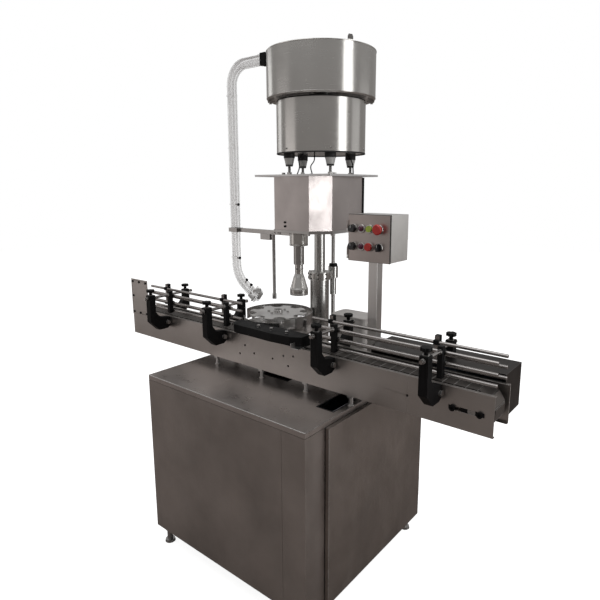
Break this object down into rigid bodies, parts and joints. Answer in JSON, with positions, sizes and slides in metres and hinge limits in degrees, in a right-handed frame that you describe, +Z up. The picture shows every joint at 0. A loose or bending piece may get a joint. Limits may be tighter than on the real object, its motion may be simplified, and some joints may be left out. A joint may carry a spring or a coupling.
{
  "type": "capping machine",
  "caption": "Free-standing bottle capping machine: a vibratory bowl and chute feed caps to one spindle over a star wheel beside a slat conveyor with guide rails.",
  "frame": {"origin": "on the floor, at the centre of the cabinet's footprint and of the conveyor's length", "axes": "+X along the conveyor in the direction the bottles travel, +Y from the operator's side to the back, +Z up"},
  "size_m": [1.84, 0.792, 2.076],
  "materials": {
    "satin_steel": "satin",
    "bright_steel": "polished",
    "frame_steel": "satin",
    "black_plastic": "matte",
    "black_rubber": "matte",
    "motor_paint": "satin",
    "turned_steel": "machined",
    "box_paint": "satin",
    "knob_plastic": "gloss",
    "lamp_lens": "gloss",
    "green_plastic": "gloss",
    "red_plastic": "gloss",
    "cast_alloy": "machined"
  },
  "bodies": {
    "base": {"cabinet_frame": "frame_steel", "cabinet_top": "satin_steel", "front_panel": "satin_steel", "left_panel": "satin_steel", "rear_panel": "satin_steel", "corner_covers": "satin_steel", "levelling_feet": "turned_steel", "side_plate_front": "satin_steel", "side_plate_rear": "satin_steel", "conveyor_bed": "satin_steel", "slat_chain": "bright_steel", "shaft_bearings": "black_plastic", "conveyor_gearmotor": "motor_paint", "drive_cover": "satin_steel", "infeed_guard": "satin_steel", "rail_brackets": "black_plastic", "bracket_knobs": "black_plastic", "star_table": "bright_steel", "guide_front": "black_plastic", "guide_rear": "bright_steel", "index_gearmotor": "motor_paint", "junction_box": "box_paint", "column_outer": "satin_steel", "control_box": "box_paint", "control_post": "satin_steel"},
    "service_door": {"side_door": "satin_steel"},
    "drive_end": {"drive_shaft": "turned_steel"},
    "idler_end": {"idler_shaft": "turned_steel"},
    "rail_infeed_front": {"rails_infeed_front": "bright_steel"},
    "rail_infeed_rear": {"rails_infeed_rear": "bright_steel"},
    "rail_outfeed_front": {"rails_outfeed_front": "bright_steel"},
    "rail_outfeed_rear": {"rails_outfeed_rear": "bright_steel"},
    "star": {"star_shaft": "turned_steel", "star_wheel": "bright_steel"},
    "head": {"column_inner": "bright_steel", "head_base": "cast_alloy", "head_cover": "satin_steel", "head_plate": "cast_alloy", "head_motor": "motor_paint", "drive_belt": "black_rubber", "spindle_housing": "cast_alloy", "bowl_drum": "satin_steel", "bowl_feet": "black_rubber", "cap_chute": "bright_steel", "chute_arm": "turned_steel"},
    "lift_spindle": {"lift_screw": "turned_steel"},
    "feeder_bowl": {"sorting_bowl": "bright_steel"},
    "quill_slide": {"quill": "turned_steel"},
    "chuck": {"capping_chuck": "turned_steel"},
    "driven_pulley": {"spindle_pulley": "cast_alloy"},
    "driver_pulley": {"motor_pulley": "cast_alloy"},
    "release_jaw": {"cap_release": "turned_steel"},
    "panel_door": {"control_door": "box_paint", "pilot_lamps": "lamp_lens"},
    "speed_dial": {"speed_knob": "knob_plastic"},
    "torque_dial": {"torque_knob": "knob_plastic"},
    "mode_switch": {"mode_selector": "knob_plastic"},
    "start_key": {"start_button": "green_plastic"},
    "stop_key": {"stop_button": "red_plastic"},
    "emergency_key": {"emergency_stop": "red_plastic"}
  },
  "joints": [
    {"name": "service_door_hinge", "type": "hinge", "parent": "base", "child": "service_door", "pos_m": [0.428, 0.387, 0.4], "axis": [0, 0, 1], "range_deg": [0, 110]},
    {"name": "drive_shaft_turn", "type": "hinge", "parent": "base", "child": "drive_end", "pos_m": [0.85, -0.068, 0.87], "axis": [0, 1, 0], "continuous": true},
    {"name": "idler_shaft_turn", "type": "hinge", "parent": "base", "child": "idler_end", "pos_m": [-0.85, -0.068, 0.87], "axis": [0, 1, 0], "continuous": true},
    {"name": "rail_infeed_front_adjust", "type": "slide", "parent": "base", "child": "rail_infeed_front", "axis": [0, 1, 0], "range_m": [-0.015, 0.015]},
    {"name": "rail_infeed_rear_adjust", "type": "slide", "parent": "base", "child": "rail_infeed_rear", "axis": [0, 1, 0], "range_m": [-0.015, 0.015]},
    {"name": "rail_outfeed_front_adjust", "type": "slide", "parent": "base", "child": "rail_outfeed_front", "axis": [0, 1, 0], "range_m": [-0.015, 0.015]},
    {"name": "rail_outfeed_rear_adjust", "type": "slide", "parent": "base", "child": "rail_outfeed_rear", "axis": [0, 1, 0], "range_m": [-0.015, 0.005]},
    {"name": "star_turn", "type": "hinge", "parent": "base", "child": "star", "pos_m": [-0.107, 0.06, 0.95], "axis": [0, 0, 1], "continuous": true},
    {"name": "head_lift", "type": "slide", "parent": "base", "child": "head", "axis": [0, 0, 1], "range_m": [-0.02, 0.1]},
    {"name": "lift_screw_turn", "type": "hinge", "parent": "head", "child": "lift_spindle", "pos_m": [0.00493, 0.31038, 1.35], "axis": [0, 0, 1], "range_deg": [-1440, 7200]},
    {"name": "bowl_twist", "type": "hinge", "parent": "head", "child": "feeder_bowl", "pos_m": [0.05, 0.16, 1.874], "axis": [0, 0, 1], "range_deg": [-1, 1], "stiffness_Nm_per_rad": 400},
    {"name": "quill_stroke", "type": "slide", "parent": "head", "child": "quill_slide", "axis": [0, 0, -1], "range_m": [0, 0.045]},
    {"name": "chuck_spin", "type": "hinge", "parent": "quill_slide", "child": "chuck", "pos_m": [0.013, 0.06, 1.15], "axis": [0, 0, 1], "continuous": true},
    {"name": "driven_pulley_spin", "type": "hinge", "parent": "head", "child": "driven_pulley", "pos_m": [0.013, 0.06, 1.407], "axis": [0, 0, 1], "continuous": true},
    {"name": "driver_pulley_spin", "type": "hinge", "parent": "head", "child": "driver_pulley", "pos_m": [0.11, 0.14, 1.407], "axis": [0, 0, 1], "continuous": true},
    {"name": "cap_release_swing", "type": "hinge", "parent": "head", "child": "release_jaw", "pos_m": [-0.2335, 0.06, 1.07694], "axis": [0, -1, 0], "range_deg": [0, 25], "stiffness_Nm_per_rad": 0.05},
    {"name": "control_door_hinge", "type": "hinge", "parent": "base", "child": "panel_door", "pos_m": [0.305, -0.009, 1.353], "axis": [0, 0, -1], "range_deg": [0, 100]},
    {"name": "speed_knob_turn", "type": "hinge", "parent": "panel_door", "child": "speed_dial", "pos_m": [0.33, -0.011, 1.388], "axis": [0, 1, 0], "range_deg": [-135, 135]},
    {"name": "torque_knob_turn", "type": "hinge", "parent": "panel_door", "child": "torque_dial", "pos_m": [0.33, -0.011, 1.324], "axis": [0, 1, 0], "range_deg": [-135, 135]},
    {"name": "mode_selector_turn", "type": "hinge", "parent": "panel_door", "child": "mode_switch", "pos_m": [0.44, -0.011, 1.324], "axis": [0, 1, 0], "range_deg": [-45, 45]},
    {"name": "start_button_press", "type": "slide", "parent": "panel_door", "child": "start_key", "axis": [0, 1, 0], "range_m": [0, 0.005], "stiffness_N_per_m": 600},
    {"name": "stop_button_press", "type": "slide", "parent": "panel_door", "child": "stop_key", "axis": [0, 1, 0], "range_m": [0, 0.005], "stiffness_N_per_m": 600},
    {"name": "emergency_stop_press", "type": "slide", "parent": "panel_door", "child": "emergency_key", "axis": [0, 1, 0], "range_m": [0, 0.006], "stiffness_N_per_m": 600}
  ],
  "couplings": [
    {"joint": "idler_shaft_turn", "follows": "drive_shaft_turn", "ratio": 1},
    {"joint": "lift_screw_turn", "follows": "head_lift", "rad_per_m": 1256.6},
    {"joint": "driven_pulley_spin", "follows": "chuck_spin", "ratio": 1},
    {"joint": "driver_pulley_spin", "follows": "chuck_spin", "ratio": 1.25}
  ]
}
